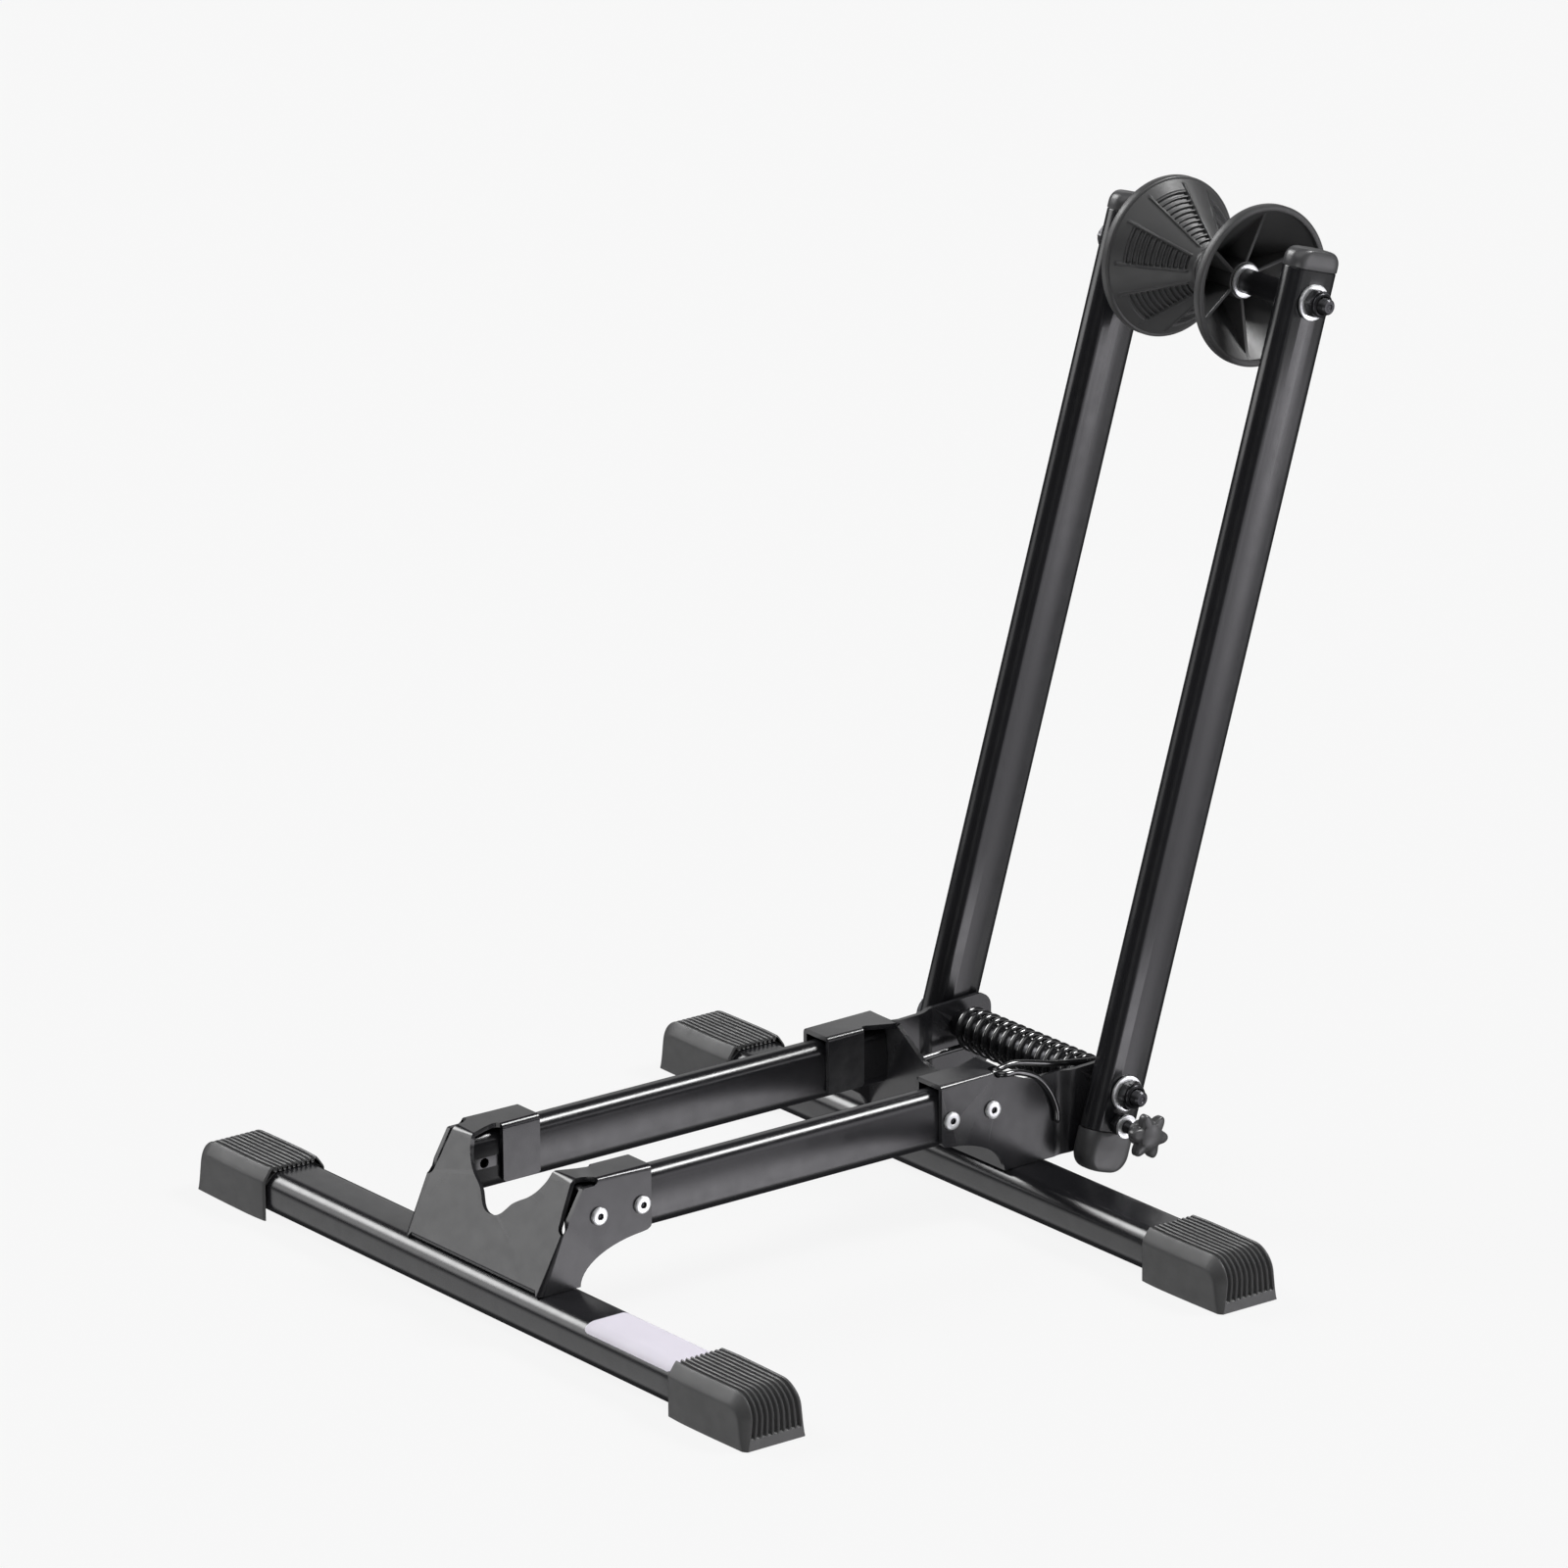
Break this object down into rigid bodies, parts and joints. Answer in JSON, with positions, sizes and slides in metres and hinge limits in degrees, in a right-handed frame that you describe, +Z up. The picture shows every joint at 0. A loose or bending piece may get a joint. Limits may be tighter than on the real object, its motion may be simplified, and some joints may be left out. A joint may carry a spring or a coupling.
{
  "type": "folding bicycle wheel stand",
  "caption": "Folding floor stand for a bicycle wheel: capped crossbars and rails, with rear arms that carry a grooved roller.",
  "frame": {"origin": "middle of the bounding box, on the floor", "axes": "+X along the crossbars towards the knob side, +Y from the front crossbar to the rear one, +Z up"},
  "size_m": [0.45, 0.5048, 0.479],
  "materials": {
    "black_powder_coat": "satin powder coat",
    "foot_cap_rubber": "matt moulded",
    "plug_plastic": "satin moulded",
    "roller_plastic": "satin moulded",
    "zinc_plate": "bright zinc",
    "black_oxide_steel": "black oxide",
    "spring_black": "gloss black",
    "nylon": "natural",
    "label_film": "satin film"
  },
  "bodies": {
    "base_frame": {"front_crossbar": "black_powder_coat", "rear_crossbar": "black_powder_coat", "blank_label": "label_film", "front_bracket": "black_powder_coat", "rear_bracket": "black_powder_coat", "left_rail": "black_powder_coat", "right_rail": "black_powder_coat", "front_left_foot_cap": "foot_cap_rubber", "front_right_foot_cap": "foot_cap_rubber", "rear_left_foot_cap": "foot_cap_rubber", "rear_right_foot_cap": "foot_cap_rubber", "front_left_rivet_1": "zinc_plate", "front_right_rivet_1": "zinc_plate", "front_left_rivet_2": "zinc_plate", "front_right_rivet_2": "zinc_plate", "rear_left_rivet_1": "zinc_plate", "rear_right_rivet_1": "zinc_plate", "rear_left_rivet_2": "zinc_plate", "rear_right_rivet_2": "zinc_plate", "pivot_bolt": "black_oxide_steel", "pivot_nut": "black_oxide_steel", "pivot_left_washer": "zinc_plate", "pivot_right_washer": "zinc_plate", "pivot_distance_tube": "black_oxide_steel", "torsion_spring": "spring_black", "left_pivot_shim": "nylon", "right_pivot_shim": "nylon"},
    "arm_frame": {"left_arm": "black_powder_coat", "right_arm": "black_powder_coat", "left_arm_top_plug": "plug_plastic", "right_arm_top_plug": "plug_plastic", "left_arm_bottom_plug": "plug_plastic", "right_arm_bottom_plug": "plug_plastic", "roller_bolt": "black_oxide_steel", "roller_nut": "black_oxide_steel", "roller_left_washer": "zinc_plate", "roller_right_washer": "zinc_plate", "left_roller_spacer": "black_oxide_steel", "right_roller_spacer": "black_oxide_steel", "left_hub_washer": "zinc_plate", "right_hub_washer": "zinc_plate", "lock_nut": "black_oxide_steel"},
    "roller": {"left_roller_half": "roller_plastic", "right_roller_half": "roller_plastic", "roller_bush": "nylon"},
    "lock_carrier": {"lock_washer": "zinc_plate"},
    "lock_knob": {"lock_knob": "plug_plastic", "lock_screw": "black_oxide_steel"}
  },
  "joints": [
    {"name": "arm_fold", "type": "hinge", "parent": "base_frame", "child": "arm_frame", "pos_m": [0, 0.09658, 0.0565], "axis": [1, 0, 0], "range_deg": [-12, 106]},
    {"name": "roller_spin", "type": "hinge", "parent": "arm_frame", "child": "roller", "pos_m": [0, 0.21191, 0.43847], "axis": [1, 0, 0], "continuous": true},
    {"name": "lock_travel", "type": "slide", "parent": "arm_frame", "child": "lock_carrier", "axis": [1, 0, 0], "range_m": [0, 0.002]},
    {"name": "lock_turn", "type": "hinge", "parent": "lock_carrier", "child": "lock_knob", "pos_m": [0, 0.0921, 0.04166], "axis": [1, 0, 0], "range_deg": [0, 720]}
  ],
  "couplings": [
    {"joint": "lock_turn", "follows": "lock_travel", "rad_per_m": 6283.2}
  ]
}
